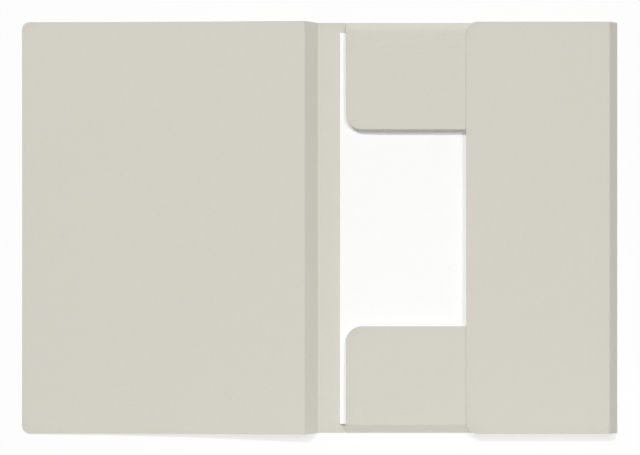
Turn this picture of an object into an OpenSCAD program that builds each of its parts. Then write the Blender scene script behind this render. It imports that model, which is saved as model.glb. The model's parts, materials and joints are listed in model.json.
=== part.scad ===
// Three-flap folder of scored board, lying open with its flaps folded in over a thin sheaf of sheets.
// X runs across the open folder, Y along its spine, and Z up from the table that it lies on.
// Each panel is drawn flat, with its fold line on local Y and its inner face at z = 0, and is then folded up.

/* [Board] */
// Thickness of the board
board_t = 0.5; // [0.3:0.05:0.8]
// Play between a rounded crease and the panel that turns on it
crease_play = 0.1; // [0.05:0.05:0.3]

/* [Back panel] */
// Width from the spine crease to the side crease
back_w = 227.5; // [224:0.5:260]
// Height along the spine
back_h = 312.5; // [312:0.5:350]

/* [Spine and front cover] */
// Width of the spine between its two creases
spine_w = 13; // [11:0.5:20]
// Angle at which the spine leans up from the table while the cover lies open
spine_lean = 38; // [10:1:60]
// Width of the cover from its crease to its free edge
cover_w = 215.5; // [200:0.5:250]
// Height of the cover along the spine
cover_h = 313.5; // [312:0.5:352]
// Radius of the cover's two free corners
cover_corner_r = 6; // [2:0.5:20]

/* [Gussets] */
// Width of the top and bottom gussets between their two creases
end_gusset_w = 9; // [7:0.5:9]
// Width of the side gusset between its two creases
side_gusset_w = 10; // [10:0.5:15]
// Angle at which the top and bottom gussets lean in over the back panel
end_lean = 43; // [25:1:44]
// Angle at which the side gusset leans in over the back panel
side_lean = 47; // [45:1:60]

/* [Top and bottom flaps] */
// Distance from the spine crease to the flaps
end_inset = 21; // [10:0.5:60]
// Width of the slit that frees each end of a flap from the back panel
end_slit = 0.3; // [0.2:0.1:2]
// Depth of a flap from its crease to its free edge
end_flap_d = 74.5; // [40:0.5:90]
// Radius of the flap's two free corners
end_corner_r = 12; // [3:0.5:20]
// Distance that the flaps stop short of the side flap's crease
end_gap = 3; // [2:0.5:10]
// Angle at which the end under the side flap is mitred, so that all three flaps can swing together
end_mitre = 46; // [45:1:50]

/* [Side flap] */
// Depth of the flap from its crease to its free edge
side_flap_d = 108.5; // [80:0.5:130]
// Radius of the flap's two free corners
side_corner_r = 9; // [3:0.5:20]

/* [Filed sheets] */
// Width of a sheet
sheet_w = 210; // [200:1:216]
// Height of a sheet
sheet_h = 297; // [280:1:300]
// Thickness of the sheaf
sheaf_t = 0.7; // [0.1:0.1:1.5]
// Distance from the side crease to the sheaf
sheaf_gap = 1; // [1:0.5:10]
// Distance that the sheaf has slipped towards the bottom flap
sheaf_slip = 0.5; // [0:0.1:3]

/* [Hidden] */
$fn = 64;

board_colour = "#d3d2c6";
crease_colour = "#cbc9bc";
sheet_colour = "#fcfcfa";

// Directions in which a panel leaves the back panel
to_right = 0;
to_top = 90;
to_left = 180;

// A panel that turns on a crease starts just past its rounded edge
fold_start = board_t + crease_play;
ridge_start = board_t / 2 + crease_play;

// The ridge between spine and cover, from the spine crease, in the middle of the board
ridge_out = spine_w * cos(spine_lean) + board_t / 2 * sin(spine_lean);
ridge_z = board_t + spine_w * sin(spine_lean) - board_t / 2 * cos(spine_lean);

// The open cover slopes down from the ridge until its free edge meets the table
cover_slope = asin(ridge_z / norm([cover_w, board_t / 2])) - atan(board_t / 2 / cover_w);
cover_out = ridge_out + cover_w * cos(cover_slope);

// The open folder is centred across X
back_right = (cover_out + back_w - board_t) / 2;
back_left = back_right - back_w;
back_top = back_h / 2;

// The top and bottom fold lines lie inside the cut edge, so that the folded board ends flush with it
end_fold = back_top - board_t;

// The ends of the top and bottom flaps, across X
end_left = back_left + end_inset;
end_right = back_right - side_gusset_w * cos(side_lean) - end_gap;
end_len = end_right - end_left;
end_mid = (end_left + end_right) / 2;
mitre_back = end_flap_d * tan(end_mitre);

// Air between the back panel and the lowest sheet
lie_gap = 0.02;

// Takes the sharp corner p off an outline, where the edges' outward normals are na and nb
module round_off(p, na, nb, r) {
    reach = (na + nb) / (1 + na * nb);
    centre = p - r * reach;
    past = r + 1;
    difference() {
        polygon([centre, centre + past * na, centre + past * reach, centre + past * nb]);
        translate(centre) circle(r);
    }
}

// Turns an outline into board, with its inner face at z = 0
module board() {
    translate([0, 0, -board_t]) linear_extrude(board_t) children();
}

// Places a panel on an edge of the back panel and folds it up from lying flat
module folded(edge, direction, angle) {
    translate([edge.x, edge.y, board_t]) rotate([0, 0, direction]) rotate([0, -angle, 0]) children();
}

// Places a flap on the far crease of a gusset that leans in by the given angle
module on_gusset(width, lean) {
    translate([width, 0, 0]) rotate([0, -lean, 0]) children();
}

// Rounded edge of the board under a fold line, which is the crease's axis
module crease_round(len) {
    intersection() {
        rotate([90, 0, 0]) cylinder(r = board_t, h = len, center = true);
        translate([0, -len / 2, -board_t]) cube([board_t, len, board_t]);
    }
}

// Rounded edge of the board for a crease that folds both ways, on an axis in the middle of the board
module ridge_round(len) {
    intersection() {
        translate([0, 0, -board_t / 2]) rotate([90, 0, 0]) cylinder(d = board_t, h = len, center = true);
        translate([0, -len / 2, -board_t]) cube([board_t, len, board_t]);
    }
}

// Strip of board between two creases
module gusset_strip(width, len) {
    board() translate([fold_start, -len / 2]) square([width - fold_start, len]);
}

// Back panel, recessed at both ends where the top and bottom flaps fold up
module back_outline() {
    difference() {
        translate([back_left, -back_top]) square([back_w, back_h]);
        for (side = [0, 1])
            mirror([0, side])
                translate([end_left - end_slit, end_fold]) square([end_len + 2 * end_slit, 2 * board_t]);
    }
}

// Flap across the end of the folder, with its mitred end at negative y before it is turned
module end_flap_outline() {
    spine_side = end_len / 2;
    mitred_side = -end_len / 2;
    mitred_tip = mitred_side + mitre_back;
    slant = [sin(end_mitre), -cos(end_mitre)];
    difference() {
        polygon([
            [fold_start, spine_side],
            [end_flap_d, spine_side],
            [end_flap_d, mitred_tip],
            [fold_start, mitred_side + fold_start * tan(end_mitre)]
        ]);
        round_off([end_flap_d, spine_side], [1, 0], [0, 1], end_corner_r);
        round_off([end_flap_d, mitred_tip], [1, 0], slant, end_corner_r);
    }
}

// Flap or cover with two rounded free corners
module free_panel_outline(start, width, height, r) {
    difference() {
        translate([start, -height / 2]) square([width - start, height]);
        for (side = [-1, 1]) round_off([width, side * height / 2], [1, 0], [0, side], r);
    }
}

module at_top() {
    folded([end_mid, end_fold], to_top, 180 - end_lean) children();
}

module at_bottom() {
    mirror([0, 1, 0]) at_top() children();
}

module at_side() {
    folded([back_right, 0], to_right, 180 - side_lean) children();
}

module at_spine() {
    folded([back_left, 0], to_left, spine_lean) children();
}

// The cover folds back from the spine, on an axis in the middle of the board
module on_ridge() {
    translate([spine_w, 0, -board_t / 2])
        rotate([0, spine_lean + cover_slope, 0])
            translate([0, 0, board_t / 2]) children();
}

module back_panel() {
    color(board_colour) linear_extrude(board_t) back_outline();
}

module spine_panel() {
    color(board_colour) at_spine() board() polygon([
        [fold_start, -back_h / 2],
        [spine_w, -cover_h / 2],
        [spine_w, cover_h / 2],
        [fold_start, back_h / 2]
    ]);
}

module front_cover() {
    color(board_colour) at_spine() on_ridge() board()
        free_panel_outline(ridge_start, cover_w, cover_h, cover_corner_r);
}

module top_gusset() {
    color(board_colour) at_top() gusset_strip(end_gusset_w, end_len);
}

module top_flap() {
    color(board_colour) at_top() on_gusset(end_gusset_w, end_lean) board() end_flap_outline();
}

module bottom_gusset() {
    color(board_colour) at_bottom() gusset_strip(end_gusset_w, end_len);
}

module bottom_flap() {
    color(board_colour) at_bottom() on_gusset(end_gusset_w, end_lean) board() end_flap_outline();
}

module side_gusset() {
    color(board_colour) at_side() gusset_strip(side_gusset_w, back_h);
}

module side_flap() {
    color(board_colour) at_side() on_gusset(side_gusset_w, side_lean) board()
        free_panel_outline(fold_start, side_flap_d, back_h, side_corner_r);
}

module spine_crease() {
    color(crease_colour) folded([back_left, 0], to_left, 0) crease_round(back_h);
}

module cover_crease() {
    color(crease_colour) at_spine() translate([spine_w, 0, 0]) ridge_round(cover_h);
}

module top_base_crease() {
    color(crease_colour) folded([end_mid, end_fold], to_top, 0) crease_round(end_len);
}

module top_flap_crease() {
    color(crease_colour) at_top() translate([end_gusset_w, 0, 0]) crease_round(end_len);
}

module bottom_base_crease() {
    mirror([0, 1, 0]) top_base_crease();
}

module bottom_flap_crease() {
    color(crease_colour) at_bottom() translate([end_gusset_w, 0, 0]) crease_round(end_len);
}

module side_base_crease() {
    color(crease_colour) folded([back_right, 0], to_right, 0) crease_round(back_h);
}

module side_flap_crease() {
    color(crease_colour) at_side() translate([side_gusset_w, 0, 0]) crease_round(back_h);
}

module filed_sheets() {
    color(sheet_colour)
        translate([back_right - sheaf_gap - sheet_w, -sheet_h / 2 - sheaf_slip, board_t + lie_gap])
            cube([sheet_w, sheet_h, sheaf_t]);
}

back_panel();
spine_panel();
front_cover();
top_gusset();
top_flap();
bottom_gusset();
bottom_flap();
side_gusset();
side_flap();
spine_crease();
cover_crease();
top_base_crease();
top_flap_crease();
bottom_base_crease();
bottom_flap_crease();
side_base_crease();
side_flap_crease();
filed_sheets();
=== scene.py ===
"""Three-flap folder of grey board, lying open with a thin sheaf of white sheets under its flaps."""

import json
from math import cos, pi, radians, sin, tan

import bmesh
import bpy
from mathutils import Matrix, Vector


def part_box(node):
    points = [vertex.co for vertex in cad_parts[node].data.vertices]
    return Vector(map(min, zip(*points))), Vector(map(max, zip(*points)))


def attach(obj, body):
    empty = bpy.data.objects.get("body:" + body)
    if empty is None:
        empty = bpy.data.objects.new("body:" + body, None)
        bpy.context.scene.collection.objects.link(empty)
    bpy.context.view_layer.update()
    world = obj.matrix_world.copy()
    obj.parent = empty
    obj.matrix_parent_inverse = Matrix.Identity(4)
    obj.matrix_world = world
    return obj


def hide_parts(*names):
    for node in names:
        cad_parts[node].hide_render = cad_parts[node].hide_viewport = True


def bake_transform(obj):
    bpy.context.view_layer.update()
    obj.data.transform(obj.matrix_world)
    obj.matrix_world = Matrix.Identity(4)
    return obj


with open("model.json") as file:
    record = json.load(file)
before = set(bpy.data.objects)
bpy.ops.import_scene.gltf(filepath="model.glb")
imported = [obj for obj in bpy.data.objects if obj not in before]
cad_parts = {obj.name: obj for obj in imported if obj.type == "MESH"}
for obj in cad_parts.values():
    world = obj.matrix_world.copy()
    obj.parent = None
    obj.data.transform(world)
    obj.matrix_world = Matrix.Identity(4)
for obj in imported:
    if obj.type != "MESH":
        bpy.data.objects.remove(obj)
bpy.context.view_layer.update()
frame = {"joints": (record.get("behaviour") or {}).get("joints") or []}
JOINTS = {joint["name"]: joint for joint in frame["joints"]}

bl_info = {
    "name": "Three-flap folder",
    "version": (1, 0, 0),
    "blender": (4, 5, 0),
    "location": "View3D > Sidebar > Folder",
    "description": "Builds the board panels, creases, filed sheets and studio of a three-flap folder",
    "category": "Object",
}

MM = 0.001
UP = Vector((0, 0, 1))


def srgb(hex_colour):
    """Linear red, green and blue of an sRGB hex colour."""
    channels = [int(hex_colour[i:i + 2], 16) / 255 for i in (1, 3, 5)]
    return tuple(c / 12.92 if c <= 0.04045 else ((c + 0.055) / 1.055) ** 2.4 for c in channels)


class FolderBoardProps(bpy.types.PropertyGroup):
    """Sizes and colours of the scored board"""

    colour: bpy.props.FloatVectorProperty(
        name="Board", description="Colour of the board's face", subtype="COLOR", default=srgb("#D3D1C6"))
    pale_fibre: bpy.props.FloatVectorProperty(
        name="Pale fibre", description="Colour of the pale fibres in the board", subtype="COLOR",
        default=srgb("#DEDDD3"))
    dark_fibre: bpy.props.FloatVectorProperty(
        name="Dark fibre", description="Colour of the recycled flecks in the board", subtype="COLOR",
        default=srgb("#BDBBAF"))
    cut_edge: bpy.props.FloatVectorProperty(
        name="Cut edge", description="Colour of the board's die-cut edge", subtype="COLOR",
        default=srgb("#C9C7BA"))
    edge_round: bpy.props.FloatProperty(
        name="Edge rounding", description="Width of the soft edge that the cutting die leaves",
        subtype="DISTANCE", default=0.07 * MM)
    crease_half: bpy.props.FloatProperty(
        name="Crease width", description="Half the width of board that a crease bends", subtype="DISTANCE",
        default=0.8 * MM)
    top_crease_half: bpy.props.FloatProperty(
        name="Top crease width",
        description="Half the width of board that the top flap's softer crease bends",
        subtype="DISTANCE", default=2.4 * MM)
    ridge_half: bpy.props.FloatProperty(
        name="Ridge width", description="Half the width of board that bends at the ridge of the spine",
        subtype="DISTANCE", default=0.4 * MM)
    end_slit: bpy.props.FloatProperty(
        name="End slit", description="Width of the slit at each end of the top and bottom flaps",
        subtype="DISTANCE", default=0.3 * MM)
    cover_corner: bpy.props.FloatProperty(
        name="Cover corner", description="Radius of the cover's free corners", subtype="DISTANCE",
        default=6 * MM)
    end_corner: bpy.props.FloatProperty(
        name="End flap corner", description="Radius of the free corners of the top and bottom flaps",
        subtype="DISTANCE", default=12 * MM)
    side_corner: bpy.props.FloatProperty(
        name="Side flap corner", description="Radius of the side flap's free corners", subtype="DISTANCE",
        default=9 * MM)
    end_mitre: bpy.props.FloatProperty(
        name="End flap mitre", description="Angle of the end flaps' hidden edge, under the side flap",
        subtype="ANGLE", default=radians(46))
    cover_sag: bpy.props.FloatProperty(
        name="Cover sag", description="How far the middle of the open cover hangs below a straight line",
        subtype="DISTANCE", default=1.2 * MM)
    cover_curl: bpy.props.FloatProperty(
        name="Cover curl", description="How far the cover's free corners curl up", subtype="DISTANCE",
        default=0.6 * MM)
    end_sag: bpy.props.FloatProperty(
        name="End flap sag", description="How far the free edges of the top and bottom flaps hang",
        subtype="DISTANCE", default=0.5 * MM)
    side_sag: bpy.props.FloatProperty(
        name="Side flap sag",
        description="How far the side flap's free edge hangs between the other two flaps",
        subtype="DISTANCE", default=0.8 * MM)
    score_height: bpy.props.FloatProperty(
        name="Score height", description="Height of the bead along the spare score beside the spine",
        subtype="DISTANCE", default=0.2 * MM)
    faint_score_height: bpy.props.FloatProperty(
        name="Faint score height", description="Height of the bead along the spare score of a flap",
        subtype="DISTANCE", default=0.04 * MM)
    score_width: bpy.props.FloatProperty(
        name="Score width", description="Width of the bead along a spare score", subtype="DISTANCE",
        default=1.2 * MM)


class FolderSheetProps(bpy.types.PropertyGroup):
    """The sheaf of filed sheets"""

    colour: bpy.props.FloatVectorProperty(
        name="Paper", description="Colour of the sheets", subtype="COLOR", default=srgb("#FEFEFD"))
    # The grey of the stacked edges is painted shade for the gaps between the sheets
    cut_edge: bpy.props.FloatVectorProperty(
        name="Cut edge", description="Colour of the sheets' stacked edges", subtype="COLOR",
        default=srgb("#CBCAC4"))
    count: bpy.props.IntProperty(name="Sheets", description="Number of sheets in the sheaf", default=7, min=1)
    stagger: bpy.props.FloatProperty(
        name="Stagger", description="How far the sheets' edges are out of line", subtype="DISTANCE",
        default=0.2 * MM)
    lift: bpy.props.FloatProperty(
        name="Lift", description="How far the edge of the top sheet by the spine stands off the back panel",
        subtype="DISTANCE", default=1.6 * MM)


class FolderStageProps(bpy.types.PropertyGroup):
    """Floor, light and camera"""

    camera_place: bpy.props.FloatVectorProperty(
        name="Camera", description="Place of the camera, which looks straight down", subtype="TRANSLATION",
        default=(0.25 * MM, 0.23 * MM, 1.24))
    view_width: bpy.props.FloatProperty(
        name="View width", description="Width of floor that the picture spans", subtype="DISTANCE",
        default=488.2 * MM)
    floor_colour: bpy.props.FloatVectorProperty(
        name="Floor", description="Colour of the floor", subtype="COLOR", default=srgb("#FDFDFD"))
    floor_glow: bpy.props.FloatProperty(
        name="Floor glow", description="Share of plain white in what the camera sees of the floor",
        subtype="FACTOR", default=0.62, min=0, max=1)
    dome: bpy.props.FloatProperty(
        name="Dome", description="Strength of the even light from all round", default=0.236)
    key: bpy.props.FloatProperty(
        name="Key lamp", description="Power of the lamp beyond the folder's top edge", subtype="POWER",
        default=23)
    side_key: bpy.props.FloatProperty(
        name="Side key lamp", description="Power of the lamp beyond the cover's top corner", subtype="POWER",
        default=46.8)
    flap_key: bpy.props.FloatProperty(
        name="Flap key lamp", description="Power of the lamp beyond the side flap's top corner",
        subtype="POWER", default=16.9)
    fill: bpy.props.FloatProperty(
        name="Fill lamp", description="Power of the low lamp before the folder's bottom edge",
        subtype="POWER", default=5.75)


# Materials


def add_node(tree, kind, inputs=None, **settings):
    """A node with its settings made, and its inputs set or linked by name or number."""
    node = tree.nodes.new(kind)
    for name, value in settings.items():
        setattr(node, name, value)
    for name, value in (inputs or {}).items():
        if isinstance(value, bpy.types.NodeSocket):
            tree.links.new(value, node.inputs[name])
        else:
            node.inputs[name].default_value = value
    return node


def new_material(name):
    """An empty node material and its Principled shader."""
    material = bpy.data.materials.new(name)
    material.use_nodes = True
    return material, material.node_tree, material.node_tree.nodes["Principled BSDF"]


def per_mm(size_mm):
    """Texture scale at which one feature is about that many millimetres across."""
    return 1 / (size_mm * MM)


def rgba(colour):
    """A colour with full opacity, as a node's colour input takes it."""
    return (*colour, 1)


def fibre_field(tree, place, width_mm, length_mm, turns):
    """Height of fibres of one size that cross at several angles to the spine, one over the other."""
    top = 0.0
    for turn in turns:
        along = add_node(tree, "ShaderNodeMapping", {
            "Vector": place, "Rotation": (0, 0, turn),
            "Scale": (width_mm * MM, length_mm * MM, width_mm * MM)}, vector_type="TEXTURE")
        noise = add_node(tree, "ShaderNodeTexNoise", {
            "Vector": along.outputs["Vector"], "Scale": 1, "Detail": 2})
        top = add_node(tree, "ShaderNodeMath", {
            0: noise.outputs["Fac"], 1: top}, operation="MAXIMUM").outputs[0]
    return top


# Most that the colour of the cut edge shows on the face of the board, right beside the edge
WORN_SHARE = 0.35


def board_material(name, face_colour, props, bump):
    """Recycled solid board, calendered but uncoated: matte and nearly even, with no sheen.

    Its tone is faintly cloudy, with short pale fibres and a few darker flecks, and it is rubbed darker along
    its cut edges. Single fibres are 0.1 mm wide. The bundles of them are drawn coarser than real ones, at
    0.6 mm, so that they still show at the picture's scale.
    """
    material, tree, shader = new_material(name)
    place = add_node(tree, "ShaderNodeTexCoord").outputs["Object"]
    cloud = add_node(tree, "ShaderNodeTexNoise", {"Vector": place, "Scale": per_mm(9), "Detail": 3})
    haze = add_node(tree, "ShaderNodeTexNoise", {"Vector": place, "Scale": per_mm(70), "Detail": 2})
    bundles = fibre_field(tree, place, width_mm=0.6, length_mm=4, turns=(-0.5, 0.4))
    fibres = fibre_field(tree, place, width_mm=0.1, length_mm=1.6, turns=(-0.45, 0.25, 1.2))
    bundled = add_node(tree, "ShaderNodeMapRange", {
        "Value": bundles, "From Min": 0.55, "From Max": 0.8, "To Min": 0, "To Max": 0.3})
    single = add_node(tree, "ShaderNodeMapRange", {
        "Value": fibres, "From Min": 0.56, "From Max": 0.74, "To Min": 0, "To Max": 0.6})
    pale = add_node(tree, "ShaderNodeMath", {
        0: bundled.outputs[0], 1: single.outputs[0]}, operation="MAXIMUM")
    fleck = add_node(tree, "ShaderNodeTexVoronoi", {"Vector": place, "Scale": per_mm(4.5), "Randomness": 1})
    dark = add_node(tree, "ShaderNodeMapRange", {
        "Value": fleck.outputs["Distance"], "From Min": 0.05, "From Max": 0.11, "To Min": 0.3, "To Max": 0})
    toned = add_node(tree, "ShaderNodeMapRange", {
        "Value": cloud.outputs["Fac"], "From Min": 0.3, "From Max": 0.7, "To Min": 0.994, "To Max": 1.006})
    hazed = add_node(tree, "ShaderNodeMapRange", {
        "Value": haze.outputs["Fac"], "From Min": 0.3, "From Max": 0.7, "To Min": 0.996, "To Max": 1.004})
    tone = add_node(tree, "ShaderNodeMath", {0: toned.outputs[0], 1: hazed.outputs[0]}, operation="MULTIPLY")
    with_fibres = add_node(tree, "ShaderNodeMix", {
        "Factor": pale.outputs[0], 6: rgba(face_colour), 7: rgba(props.pale_fibre)}, data_type="RGBA")
    with_flecks = add_node(tree, "ShaderNodeMix", {
        "Factor": dark.outputs[0], 6: with_fibres.outputs[2], 7: rgba(props.dark_fibre)}, data_type="RGBA")
    clouded = add_node(tree, "ShaderNodeVectorMath", {
        0: with_flecks.outputs[2], "Scale": tone.outputs[0]}, operation="SCALE")
    wear = add_node(tree, "ShaderNodeAttribute", attribute_name="edge_wear")
    rubbed = add_node(tree, "ShaderNodeMath", {
        0: wear.outputs["Fac"], 1: WORN_SHARE}, operation="MULTIPLY")
    worn = add_node(tree, "ShaderNodeMix", {
        "Factor": rubbed.outputs[0], 6: clouded.outputs[0], 7: rgba(props.cut_edge)}, data_type="RGBA")
    rough = add_node(tree, "ShaderNodeMapRange", {
        "Value": cloud.outputs["Fac"], "From Min": 0.3, "From Max": 0.7, "To Min": 0.8, "To Max": 0.9})
    tooth = add_node(tree, "ShaderNodeTexNoise", {"Vector": place, "Scale": per_mm(0.8), "Detail": 2})
    matted = add_node(tree, "ShaderNodeMath", {0: bundles, 1: fibres}, operation="ADD")
    relief = add_node(tree, "ShaderNodeMath", {
        0: tooth.outputs["Fac"], 1: matted.outputs[0]}, operation="ADD")
    bumped = add_node(tree, "ShaderNodeBump", {
        "Height": relief.outputs[0], "Strength": bump, "Distance": 0.05 * MM})
    shader.inputs["Specular IOR Level"].default_value = 0.25
    tree.links.new(worn.outputs[2], shader.inputs["Base Color"])
    tree.links.new(rough.outputs[0], shader.inputs["Roughness"])
    tree.links.new(bumped.outputs["Normal"], shader.inputs["Normal"])
    return material


def paper_material(name, colour):
    """White office paper: matte, smooth and very slightly cloudy, with a tooth too fine to see a step away.

    The cut edges of the stack take a greyer colour, painted shade for the gaps between the sheets, which
    swallow light.
    """
    material, tree, shader = new_material(name)
    place = add_node(tree, "ShaderNodeTexCoord").outputs["Object"]
    cloud = add_node(tree, "ShaderNodeTexNoise", {"Vector": place, "Scale": per_mm(5), "Detail": 3})
    tone = add_node(tree, "ShaderNodeMapRange", {
        "Value": cloud.outputs["Fac"], "From Min": 0.3, "From Max": 0.7, "To Min": 0.99, "To Max": 1})
    toned = add_node(tree, "ShaderNodeVectorMath", {
        0: tuple(colour), "Scale": tone.outputs[0]}, operation="SCALE")
    tooth = add_node(tree, "ShaderNodeTexNoise", {"Vector": place, "Scale": per_mm(0.5), "Detail": 2})
    bumped = add_node(tree, "ShaderNodeBump", {
        "Height": tooth.outputs["Fac"], "Strength": 0.15, "Distance": 0.03 * MM})
    shader.inputs["Roughness"].default_value = 0.85
    shader.inputs["Specular IOR Level"].default_value = 0.25
    tree.links.new(toned.outputs[0], shader.inputs["Base Color"])
    tree.links.new(bumped.outputs["Normal"], shader.inputs["Normal"])
    return material


def board_materials(props):
    """Face and cut edge of the board, made once."""
    made = bpy.data.materials
    if "recycled_board_face" not in made:
        board_material("recycled_board_face", props.colour, props, bump=0.25)
        board_material("recycled_board_cut_edge", props.cut_edge, props, bump=0.6)
    return [made["recycled_board_face"], made["recycled_board_cut_edge"]]


# Folds, read from the frame's joints


# Thickness of the board
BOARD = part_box("back_panel")[1].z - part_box("back_panel")[0].z
# Directions in which the panels leave the back panel
HEADINGS = {
    "top": Vector((0, 1, 0)),
    "bottom": Vector((0, -1, 0)),
    "side": Vector((1, 0, 0)),
    "spine": Vector((-1, 0, 0)),
}


def turn_of(joint):
    """How far a fold turns from rest to its limit, in radians."""
    return radians(JOINTS[joint]["range_deg"][1])


def fold_frame(origin, heading, angle):
    """Frame of a panel folded up from the floor.

    Its x runs away from the crease, its y along it and its z out of the panel's inner face.
    """
    away = heading * cos(angle) + UP * sin(angle)
    inner = UP * cos(angle) - heading * sin(angle)
    along = inner.cross(away)
    columns = Matrix((away, along, inner)).transposed()
    return Matrix.Translation(origin) @ columns.to_4x4()


def crease_point(joint):
    """The middle of a fold's axis at rest."""
    return Vector(JOINTS[joint]["pos_m"])


# Slopes of the spine and the cover at rest, and how far each gusset is folded in from lying flat
SPINE_LEAN = pi / 2 - turn_of("spine_fold")
COVER_SLOPE = turn_of("cover_fold") - pi / 2 - SPINE_LEAN
BASE_ANGLE = {flap: turn_of(f"{flap}_gusset_fold") for flap in ("top", "bottom", "side")}


def gusset_width(flap):
    """Width of a gusset between its two creases."""
    return (crease_point(f"{flap}_flap_fold") - crease_point(f"{flap}_gusset_fold")).length


def crease_half(flap, props):
    """Half the width of board that a flap's crease bends."""
    return props.top_crease_half if flap == "top" else props.crease_half


def size_along(node, axis):
    """Size of a CAD node along one axis of the frame."""
    low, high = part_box(node)
    return high[axis] - low[axis]


# Board panels


# Spacing of the grid that lets a panel bend
CUT_PITCH = 8 * MM
# How far in from a cut edge the board is rubbed
WEAR_REACH = 7 * MM
# Steps in the round of a soft crease, a sharp crease and a corner
BEND_STEPS = 6
FOLD_STEPS = 10
CORNER_STEPS = 12
# Straight run at both ends of a soft crease
CREASE_LEAD = 0.1 * MM
# Air between the back panel and a sharp crease's fold line
FOLD_AIR = 0.02 * MM
# Distance within which a point counts as lying on a line
TOUCH = 0.01 * MM
# Distance from a flap's crease to its spare score
FLAP_SCORE = 13 * MM
# Cuts across the bead of a score, as shares of its width
BEAD_CUTS = (-0.5, -0.33, -0.17, 0, 0.17, 0.33, 0.5)
# Power that lets a sag set in gently past a crease
SAG_POWER = 1.5
# A face is a cut edge where its normal rises less than this
UPRIGHT = 0.5
# Edges that turn further than this are rounded as cut edges, or shaded as sharp
CUT_ANGLE = radians(50)
SHARP_ANGLE = radians(21)


def corner_at(bm, x, y):
    """The vertex of a blank nearest to a place."""
    return min(bm.verts, key=lambda v: (v.co.x - x) ** 2 + (v.co.y - y) ** 2)


def new_blank(x_low, x_high, height):
    """A rectangle of board, with its middle on y = 0."""
    bm = bmesh.new()
    bmesh.ops.create_grid(bm, x_segments=1, y_segments=1, size=0.5)
    bmesh.ops.scale(bm, vec=(x_high - x_low, height, 1), verts=bm.verts)
    bmesh.ops.translate(bm, vec=((x_low + x_high) / 2, 0, 0), verts=bm.verts)
    return bm


def round_corner(bm, x, y, tangent):
    """Rounds one corner of a blank; tangent is the length that the arc takes off each edge."""
    bmesh.ops.bevel(bm, geom=[corner_at(bm, x, y)], offset=tangent, offset_type="OFFSET", affect="VERTICES",
                    segments=CORNER_STEPS, profile=0.5, material=-1)


def cut_across(bm, axis, places):
    """Cuts a blank along lines across x (axis 0) or y (axis 1)."""
    normal = Vector((1, 0, 0)) if axis == 0 else Vector((0, 1, 0))
    for place in places:
        everything = [*bm.verts, *bm.edges, *bm.faces]
        bmesh.ops.bisect_plane(bm, geom=everything, plane_co=normal * place, plane_no=normal)


def cut_grid(bm):
    """Cuts a blank into a grid fine enough to bend."""
    for axis in (0, 1):
        values = [v.co[axis] for v in bm.verts]
        low, high = min(values), max(values)
        steps = max(1, round((high - low) / CUT_PITCH))
        cut_across(bm, axis, [low + (high - low) * i / steps for i in range(1, steps)])


def raise_score(bm, place, height, width):
    """Raises the bead of a score line across x = place."""
    cut_across(bm, 0, [place + share * width for share in BEAD_CUTS])
    for v in bm.verts:
        off = (v.co.x - place) / width
        if abs(off) < 0.5:
            v.co.z += height * (1 + cos(2 * pi * off)) / 2


def share_of(x, start, end):
    """How far x has come from start to end, from 0 to 1."""
    return min(1, max(0, (x - start) / (end - start)))


def bend(bm, shape):
    """Moves every point of a blank off its plane by shape(x, y)."""
    for v in bm.verts:
        v.co.z += shape(v.co.x, v.co.y)


def mark_cut_faces(bm):
    """Gives the upright faces of a flat piece its second material, the cut edge."""
    for face in bm.faces:
        face.material_index = 1 if abs(face.normal.z) < UPRIGHT else 0


def thicken(bm, is_crease, edge_round):
    """Gives a blank its thickness, rounds its cut edges, and marks how worn the board is near them.

    The blank is the board's inner face. The attribute edge_wear is 1 on a cut edge and 0 well inside it.
    """
    free = []
    for edge in bm.edges:
        middle = (edge.verts[0].co + edge.verts[1].co) / 2
        if edge.is_boundary and not is_crease(middle):
            free.append(middle.xy)
    bmesh.ops.solidify(bm, geom=bm.faces[:], thickness=BOARD)
    mark_cut_faces(bm)
    cut = []
    for edge in bm.edges:
        middle = (edge.verts[0].co + edge.verts[1].co) / 2
        if edge.calc_face_angle() > CUT_ANGLE and not is_crease(middle):
            cut.append(edge)
    bmesh.ops.bevel(bm, geom=cut, offset=edge_round, offset_type="OFFSET", affect="EDGES", segments=2,
                    profile=0.5, material=-1)
    wear = bm.verts.layers.float.new("edge_wear")
    for v in bm.verts:
        near = min(((v.co.xy - p).length for p in free), default=WEAR_REACH)
        v[wear] = max(0, 1 - near / WEAR_REACH) ** 2


def new_piece(name, bm, place, materials):
    """Makes an object of a mesh, with its place in the mesh."""
    bmesh.ops.transform(bm, matrix=place, verts=bm.verts)
    mesh = bpy.data.meshes.new(name)
    bm.to_mesh(mesh)
    bm.free()
    mesh.shade_smooth()
    mesh.set_sharp_from_angle(angle=SHARP_ANGLE)
    for material in materials:
        mesh.materials.append(material)
    piece = bpy.data.objects.new(name, mesh)
    bpy.context.collection.objects.link(piece)
    return piece


def add_panel(name, bm, place, props, body, node, is_crease):
    """A board panel that stands for a CAD node and moves with its body."""
    thicken(bm, is_crease, props.edge_round)
    piece = new_piece(name, bm, place, board_materials(props))
    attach(piece, body)
    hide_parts(node)


def add_crease(name, bm, start_frame, props, node):
    """A piece of creased board that turns smoothly from one panel to the next."""
    piece = new_piece(name, bm, start_frame, board_materials(props))
    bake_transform(piece)
    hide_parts(node)


def of_kind(items, kind):
    """The items of one kind among what a bmesh operator made."""
    return [item for item in items if isinstance(item, kind)]


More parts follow.
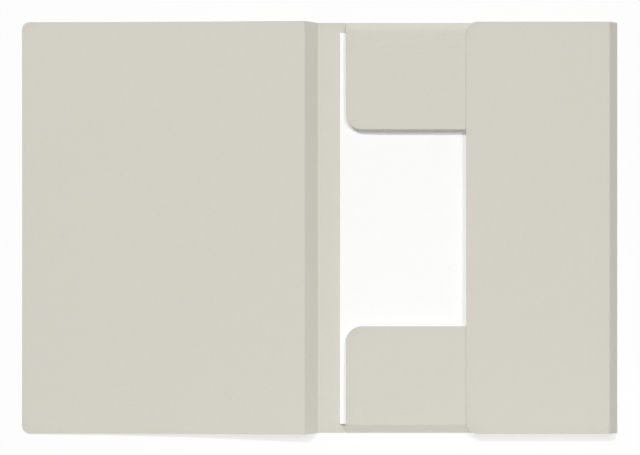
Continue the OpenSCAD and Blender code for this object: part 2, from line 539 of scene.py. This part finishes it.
def add_fold(name, start_frame, turn, length, props, node):
    """A sharp crease, folded nearly back on itself: a wedge of board, swept round like a fan.

    The back panel stops a hair short of the fold line, so that it stays clear of the gusset when the fold
    lies flat, and the wedge reaches back to it.
    """
    bm = bmesh.new()
    rim = bm.verts.new((0, -length / 2, -BOARD))
    fan = bmesh.ops.spin(bm, geom=[rim], cent=(0, -length / 2, 0), axis=(0, -1, 0), angle=turn,
                         steps=FOLD_STEPS)
    last = of_kind(fan["geom_last"], bmesh.types.BMVert)[0]
    corners = [(0, 0), (-FOLD_AIR, 0), (-FOLD_AIR, -BOARD)]
    around = [last, *(bm.verts.new((x, -length / 2, z)) for x, z in corners), rim]
    for one, other in zip(around, around[1:]):
        bm.edges.new((one, other))
    bmesh.ops.edgeloop_fill(bm, edges=bm.edges)
    swept = bmesh.ops.extrude_face_region(bm, geom=bm.faces)
    far_end = of_kind(swept["geom"], bmesh.types.BMVert)
    bmesh.ops.translate(bm, vec=(0, length, 0), verts=far_end)
    bmesh.ops.recalc_face_normals(bm, faces=bm.faces)
    add_crease(name, bm, start_frame, props, node)


def add_bend(name, start_frame, turn, half, length, props, node, axis_depth=0, mitre=0):
    """A soft crease: a narrow strip of board, bent to a round, from one panel's end to the next one's start.

    It runs straight for a little at both ends, so that it meets the panels without a seam. A negative turn
    folds towards the outer face. axis_depth is how deep in the board the fold's axis lies, and mitre is how
    far the strip draws in past the fold at one end, for a mitred flap.
    """
    side = 1 if turn > 0 else -1
    bent = half - CREASE_LEAD
    radius = bent / tan(abs(turn) / 2)
    onward = Vector((cos(turn), 0, sin(turn)))
    bm = new_blank(-half, -bent, length)
    bmesh.ops.translate(bm, vec=(0, 0, axis_depth), verts=bm.verts)
    brink = [v for v in bm.verts if v.co.x > -bent - TOUCH]
    brink.append(bm.edges.get(brink))
    bow = bmesh.ops.spin(bm, geom=brink, cent=(-bent, 0, side * radius), axis=(0, -side, 0), angle=abs(turn),
                         steps=BEND_STEPS)
    last = of_kind(bow["geom_last"], bmesh.types.BMEdge)
    lead = bmesh.ops.extrude_edge_only(bm, edges=last)["geom"]
    far_end = of_kind(lead, bmesh.types.BMVert)
    bmesh.ops.translate(bm, vec=onward * CREASE_LEAD, verts=far_end)
    for v in bm.verts:
        past = max(0, v.co.dot(onward))
        if v.co.y * mitre > 0:
            v.co.y -= mitre * past
    bmesh.ops.recalc_face_normals(bm, faces=bm.faces)
    if sum(face.normal.z for face in bm.faces) < 0:
        bmesh.ops.reverse_faces(bm, faces=bm.faces)
    cut_grid(bm)
    thicken(bm, lambda p: p.x < -half + TOUCH or p.dot(onward) > half - TOUCH, props.edge_round)
    add_crease(name, bm, start_frame, props, node)


class FOLDER_OT_back_panel(bpy.types.Operator):
    """Add the back panel, recessed where the end flaps fold up, with a spare score beside its spine crease"""

    bl_idname = "folder.back_panel"
    bl_label = "Back panel"

    SCORE_FROM_CREASE = 1.75 * MM

    def execute(self, context):
        props = context.scene.folder_board
        width = size_along("back_panel", 0) - FOLD_AIR
        height = size_along("back_panel", 1)
        spine_crease = crease_point("spine_fold")
        fold = crease_point("top_gusset_fold").y - FOLD_AIR
        low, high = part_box("top_gusset")
        recess_start = spine_crease.x - high.x - props.end_slit
        recess_end = spine_crease.x - low.x + props.end_slit

        def in_recess(p):
            return recess_start < p.x < recess_end and abs(p.y) > fold - TOUCH

        def is_crease(p):
            return p.x > -props.crease_half - TOUCH or p.x < -width + TOUCH or in_recess(p)

        blank = new_blank(-width, -props.crease_half, height)
        cut_grid(blank)
        cut_across(blank, 0, (recess_start, recess_end))
        cut_across(blank, 1, (-fold, fold))
        recess = [face for face in blank.faces if in_recess(face.calc_center_median())]
        bmesh.ops.delete(blank, geom=recess, context="FACES")
        raise_score(blank, -self.SCORE_FROM_CREASE, props.score_height, props.score_width)
        place = fold_frame(spine_crease, HEADINGS["spine"], 0)
        add_panel("back_panel_board", blank, place, props, "back", "back_panel", is_crease)
        return {"FINISHED"}


class FOLDER_OT_spine(bpy.types.Operator):
    """Add the spine strip, its crease to the back panel and the ridge that joins it to the cover"""

    bl_idname = "folder.spine"
    bl_label = "Spine"

    def execute(self, context):
        props = context.scene.folder_board
        back_height = size_along("back_panel", 1)
        cover_height = size_along("front_cover", 1)
        ridge = crease_point("cover_fold")
        crease = crease_point("spine_fold")
        place = fold_frame(crease, HEADINGS["spine"], SPINE_LEAN)
        start = props.crease_half
        end = (place.inverted() @ ridge).x - props.ridge_half
        blank = new_blank(start, end, back_height)
        for side in (-1, 1):
            corner_at(blank, end, side * back_height).co.y = side * cover_height / 2
        cut_grid(blank)
        add_panel("spine_board", blank, place, props, "spine", "spine_panel",
                  lambda p: p.x < start + TOUCH or p.x > end - TOUCH)
        add_bend("spine_crease_fold", fold_frame(crease, HEADINGS["spine"], 0), SPINE_LEAN, props.crease_half,
                 back_height, props, "spine_crease")
        add_bend("cover_ridge_fold", fold_frame(ridge, HEADINGS["spine"], SPINE_LEAN),
                 -SPINE_LEAN - COVER_SLOPE, props.ridge_half, cover_height, props,
                 "cover_crease", axis_depth=BOARD / 2)
        return {"FINISHED"}


class FOLDER_OT_cover(bpy.types.Operator):
    """Add the front cover, which sags a little between the ridge and the floor"""

    bl_idname = "folder.cover"
    bl_label = "Front cover"

    # Power that keeps the curl near the free edge
    CURL_POWER = 6

    def execute(self, context):
        props = context.scene.folder_board
        height = size_along("front_cover", 1)
        ridge = crease_point("cover_fold")
        start = props.ridge_half
        width = (ridge.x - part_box("front_cover")[0].x) / cos(COVER_SLOPE)
        place = fold_frame(ridge, HEADINGS["spine"], -COVER_SLOPE) @ Matrix.Translation((0, 0, BOARD / 2))
        blank = new_blank(start, width, height)
        for side in (-1, 1):
            round_corner(blank, width, side * height / 2, props.cover_corner)
        cut_grid(blank)

        def shape(x, y):
            along = share_of(x, start, width)
            hang = props.cover_sag * max(0, sin(pi * along)) ** SAG_POWER
            curl = props.cover_curl * along ** self.CURL_POWER * (2 * y / height) ** 2
            return curl - hang

        bend(blank, shape)
        add_panel("front_cover_board", blank, place, props, "cover", "front_cover",
                  lambda p: p.x < start + TOUCH)
        return {"FINISHED"}


class FOLDER_OT_gussets(bpy.types.Operator):
    """Add the gusset strips that carry the three flaps, with the creases on both sides of each"""

    bl_idname = "folder.gussets"
    bl_label = "Gussets"

    def execute(self, context):
        props = context.scene.folder_board
        mitre = tan(props.end_mitre)
        for flap, mitred_side in (("top", -1), ("bottom", 1), ("side", 0)):
            length = size_along(f"{flap}_gusset", 1 if flap == "side" else 0)
            half = crease_half(flap, props)
            end = gusset_width(flap) - half
            base = crease_point(f"{flap}_gusset_fold")
            top = crease_point(f"{flap}_flap_fold")
            flat = fold_frame(base, HEADINGS[flap], 0)
            folded = fold_frame(base, HEADINGS[flap], BASE_ANGLE[flap])
            folded_top = fold_frame(top, HEADINGS[flap], BASE_ANGLE[flap])
            blank = new_blank(0, end, length)
            cut_grid(blank)
            add_panel(f"{flap}_gusset_board", blank, folded, props, f"{flap}_gusset", f"{flap}_gusset",
                      lambda p: p.x < TOUCH or p.x > end - TOUCH)
            add_fold(f"{flap}_base_crease_fold", flat, BASE_ANGLE[flap], length, props,
                     f"{flap}_base_crease")
            add_bend(f"{flap}_flap_crease_fold", folded_top, turn_of(f"{flap}_flap_fold"), half, length,
                     props, f"{flap}_flap_crease",
                     mitre=mitred_side * mitre)
        return {"FINISHED"}


class FOLDER_OT_end_flaps(bpy.types.Operator):
    """Add the top and bottom flaps, each with a round corner and a mitred edge under the side flap"""

    bl_idname = "folder.end_flaps"
    bl_label = "Top and bottom flaps"

    def execute(self, context):
        props = context.scene.folder_board
        slant = tan(props.end_mitre)
        for flap, mitred_side in (("top", -1), ("bottom", 1)):
            start = crease_half(flap, props)
            length = size_along(f"{flap}_gusset", 0)
            low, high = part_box(f"{flap}_flap")
            depth = abs(crease_point(f"{flap}_flap_fold").y) - min(abs(low.y), abs(high.y))
            tip = mitred_side * (length / 2 - depth * slant)
            blank = new_blank(start, depth, length)
            corner_at(blank, depth, mitred_side * length).co.y = tip
            corner_at(blank, start, mitred_side * length).co.y -= mitred_side * start * slant
            round_corner(blank, depth, -mitred_side * length / 2, props.end_corner)
            round_corner(blank, depth, tip, props.end_corner * tan((pi / 2 - props.end_mitre) / 2))
            cut_grid(blank)
            raise_score(blank, FLAP_SCORE, props.faint_score_height, props.score_width)
            bend(blank, lambda x, y: props.end_sag * share_of(x, start, depth) ** 2)
            place = fold_frame(crease_point(f"{flap}_flap_fold"), HEADINGS[flap], pi)
            add_panel(f"{flap}_flap_board", blank, place, props, f"{flap}_flap", f"{flap}_flap",
                      lambda p: p.x < start + TOUCH)
        return {"FINISHED"}


class FOLDER_OT_side_flap(bpy.types.Operator):
    """Add the side flap, which lies over the other two and sags between them"""

    bl_idname = "folder.side_flap"
    bl_label = "Side flap"

    def execute(self, context):
        props = context.scene.folder_board
        start = props.crease_half
        height = size_along("side_flap", 1)
        crease = crease_point("side_flap_fold")
        depth = crease.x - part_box("side_flap")[0].x
        free_span = 2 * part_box("top_flap")[0].y
        blank = new_blank(start, depth, height)
        for side in (-1, 1):
            round_corner(blank, depth, side * height / 2, props.side_corner)
        cut_grid(blank)
        raise_score(blank, FLAP_SCORE, props.faint_score_height, props.score_width)

        def shape(x, y):
            if abs(y) > free_span / 2:
                return 0
            return props.side_sag * share_of(x, start, depth) ** SAG_POWER * cos(pi * y / free_span) ** 2

        bend(blank, shape)
        add_panel("side_flap_board", blank, fold_frame(crease, HEADINGS["side"], pi), props, "side_flap",
                  "side_flap", lambda p: p.x < start + TOUCH)
        return {"FINISHED"}


class FOLDER_OT_sheets(bpy.types.Operator):
    """Add the sheaf of filed sheets, a little out of line, with the upper ones lifting by the spine"""

    bl_idname = "folder.sheets"
    bl_label = "Filed sheets"

    # How far in from the spine's side the sheets lift, and the number of cuts that lets them bend there
    LIFT_REACH = 40 * MM
    LIFT_CUTS = 10
    # Most that a sheet is turned
    TURN = radians(0.03)
    # Steps, from sheet to sheet, of the waves that put the sheets out of line
    TURN_STEP = 2.3
    ACROSS_STEP = 4.1
    ALONG_STEP = 2.7

    def execute(self, context):
        props = context.scene.folder_sheets
        low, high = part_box("filed_sheets")
        middle = (low + high) / 2
        size = high - low
        thickness = size.z / props.count
        edge = -size.x / 2
        cuts = [edge + self.LIFT_REACH * (i + 1) / self.LIFT_CUTS for i in range(self.LIFT_CUTS)]
        sheaf = bmesh.new()
        sheet = bpy.data.meshes.new("sheet")
        for i in range(props.count):
            bm = bmesh.new()
            bmesh.ops.create_cube(bm, size=1)
            bmesh.ops.scale(bm, vec=(size.x, size.y, thickness), verts=bm.verts)
            cut_across(bm, 0, cuts)
            mark_cut_faces(bm)
            lift = props.lift * (i / max(1, props.count - 1)) ** 2
            bend(bm, lambda x, y: lift * (1 - share_of(x, edge, edge + self.LIFT_REACH)) ** 2)
            turn = Matrix.Rotation(self.TURN * sin(self.TURN_STEP * i), 3, "Z")
            bmesh.ops.rotate(bm, matrix=turn, verts=bm.verts)
            drift = Vector((abs(sin(self.ACROSS_STEP * i)), cos(self.ALONG_STEP * i), 0)) * props.stagger
            drift.z = (i + 0.5) * thickness - size.z / 2
            bmesh.ops.translate(bm, vec=middle + drift, verts=bm.verts)
            bm.to_mesh(sheet)
            bm.free()
            sheaf.from_mesh(sheet)
        bpy.data.meshes.remove(sheet)
        # The second material greys the stacked edges: painted shade for the gaps between the sheets
        materials = [paper_material("white_office_paper", props.colour),
                     paper_material("white_office_paper_cut_edge", props.cut_edge)]
        piece = new_piece("filed_sheets_paper", sheaf, Matrix.Identity(4), materials)
        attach(piece, "sheets")
        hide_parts("filed_sheets")
        return {"FINISHED"}


class FOLDER_OT_stage(bpy.types.Operator):
    """Add the floor, the soft studio light and the camera straight above the folder"""

    bl_idname = "folder.stage"
    bl_label = "Stage"

    # Width of the camera's sensor, in millimetres
    SENSOR = 36.0
    # Side of the floor, and the distances from its middle over which it fades to plain white, in metres
    FLOOR_SIZE = 12.0
    FADE_START = 0.4
    FADE_END = 1.5
    # Name, place and width of each lamp, in metres; each faces the middle of the folder
    LAMPS = (
        ("key", Vector((-0.3, 2.1, 2.75)), 0.35),
        ("side_key", Vector((-1.4, 2.0, 2.75)), 0.35),
        ("flap_key", Vector((1.0, 1.1, 2.6)), 0.5),
        ("fill", Vector((0.2, -1.1, 0.56)), 0.6),
    )
    # The fill stands for light from all over the room in front, so it throws no shadow of its own
    SHADOWLESS = ("fill",)

    def execute(self, context):
        props = context.scene.folder_stage
        context.scene.view_settings.view_transform = "Standard"
        self.add_floor(props)
        self.add_world(context, props)
        for name, place, size in self.LAMPS:
            self.add_lamp(name, place, size, getattr(props, name))
        camera = bpy.data.cameras.new("camera")
        camera.sensor_width = self.SENSOR
        camera.lens = self.SENSOR * props.camera_place[2] / props.view_width
        holder = bpy.data.objects.new("camera", camera)
        holder.location = props.camera_place
        context.collection.objects.link(holder)
        context.scene.camera = holder
        return {"FINISHED"}

    def seen_rays(self, tree):
        """One where the camera sees a surface, also in a reflection, and nought for the light it gives."""
        rays = add_node(tree, "ShaderNodeLightPath").outputs
        shiny = add_node(tree, "ShaderNodeMath", {
            0: rays["Is Glossy Ray"], 1: rays["Is Transmission Ray"]}, operation="MAXIMUM")
        seen = add_node(tree, "ShaderNodeMath", {
            0: rays["Is Camera Ray"], 1: shiny.outputs[0]}, operation="MAXIMUM")
        return seen.outputs[0]

    def add_floor(self, props):
        """A pale matte floor, lightened where it is seen: its shadows are faint and its far end is white."""
        bm = bmesh.new()
        bmesh.ops.create_grid(bm, x_segments=1, y_segments=1, size=self.FLOOR_SIZE / 2)
        mesh = bpy.data.meshes.new("floor")
        bm.to_mesh(mesh)
        bm.free()
        material, tree, shader = new_material("pale_floor")
        shader.inputs["Base Color"].default_value = rgba(props.floor_colour)
        shader.inputs["Roughness"].default_value = 0.9
        shader.inputs["Specular IOR Level"].default_value = 0.0
        glow = add_node(tree, "ShaderNodeEmission", {"Color": (1, 1, 1, 1), "Strength": 1.0})
        coords = add_node(tree, "ShaderNodeTexCoord")
        distance = add_node(tree, "ShaderNodeVectorMath", {0: coords.outputs["Object"]}, operation="LENGTH")
        fade = add_node(tree, "ShaderNodeMapRange", {
            "Value": distance.outputs["Value"], "From Min": self.FADE_START, "From Max": self.FADE_END,
            "To Min": props.floor_glow, "To Max": 1.0})
        share = add_node(tree, "ShaderNodeMath", {
            0: self.seen_rays(tree), 1: fade.outputs[0]}, operation="MULTIPLY")
        mixed = add_node(tree, "ShaderNodeMixShader", {
            0: share.outputs[0], 1: shader.outputs["BSDF"], 2: glow.outputs["Emission"]})
        tree.links.new(mixed.outputs["Shader"], tree.nodes["Material Output"].inputs["Surface"])
        mesh.materials.append(material)
        floor = bpy.data.objects.new("floor", mesh)
        bpy.context.collection.objects.link(floor)

    def add_world(self, context, props):
        """Even light on the folder, and plain white where the camera looks past the floor."""
        world = bpy.data.worlds.new("studio")
        context.scene.world = world
        world.use_nodes = True
        tree = world.node_tree
        background = tree.nodes["Background"]
        strength = add_node(tree, "ShaderNodeMapRange", {
            "Value": self.seen_rays(tree), "To Min": props.dome, "To Max": 1.0})
        background.inputs["Color"].default_value = (1, 1, 1, 1)
        tree.links.new(strength.outputs[0], background.inputs["Strength"])

    def add_lamp(self, name, place, size, power):
        """A round soft lamp that faces the middle of the folder."""
        lamp = bpy.data.lights.new(name, "AREA")
        lamp.shape = "DISK"
        lamp.size = size
        lamp.energy = power
        lamp.use_shadow = name not in self.SHADOWLESS
        holder = bpy.data.objects.new(name, lamp)
        holder.location = place
        holder.rotation_euler = (-place).to_track_quat("-Z", "Y").to_euler()
        bpy.context.collection.objects.link(holder)


OPERATORS = (
    FOLDER_OT_stage,
    FOLDER_OT_back_panel,
    FOLDER_OT_spine,
    FOLDER_OT_cover,
    FOLDER_OT_gussets,
    FOLDER_OT_end_flaps,
    FOLDER_OT_side_flap,
    FOLDER_OT_sheets,
)


class FOLDER_PT_sidebar(bpy.types.Panel):
    """The folder's settings, pieces and stage"""

    bl_idname = "FOLDER_PT_sidebar"
    bl_label = "Three-flap folder"
    bl_space_type = "VIEW_3D"
    bl_region_type = "UI"
    bl_category = "Folder"

    def draw(self, context):
        scene = context.scene
        for props in (scene.folder_board, scene.folder_sheets, scene.folder_stage):
            box = self.layout.box()
            for name in type(props).__annotations__:
                box.prop(props, name)
        for operator in OPERATORS:
            self.layout.operator(operator.bl_idname)


CLASSES = (FolderBoardProps, FolderSheetProps, FolderStageProps, *OPERATORS, FOLDER_PT_sidebar)


def register():
    for cls in CLASSES:
        bpy.utils.register_class(cls)
    bpy.types.Scene.folder_board = bpy.props.PointerProperty(type=FolderBoardProps)
    bpy.types.Scene.folder_sheets = bpy.props.PointerProperty(type=FolderSheetProps)
    bpy.types.Scene.folder_stage = bpy.props.PointerProperty(type=FolderStageProps)


def unregister():
    del bpy.types.Scene.folder_stage
    del bpy.types.Scene.folder_sheets
    del bpy.types.Scene.folder_board
    for cls in reversed(CLASSES):
        bpy.utils.unregister_class(cls)


def main():
    register()
    bpy.ops.folder.stage()
    bpy.ops.folder.back_panel()
    bpy.ops.folder.spine()
    bpy.ops.folder.cover()
    bpy.ops.folder.gussets()
    bpy.ops.folder.end_flaps()
    bpy.ops.folder.side_flap()
    bpy.ops.folder.sheets()


if __name__ == "__main__":
    main()
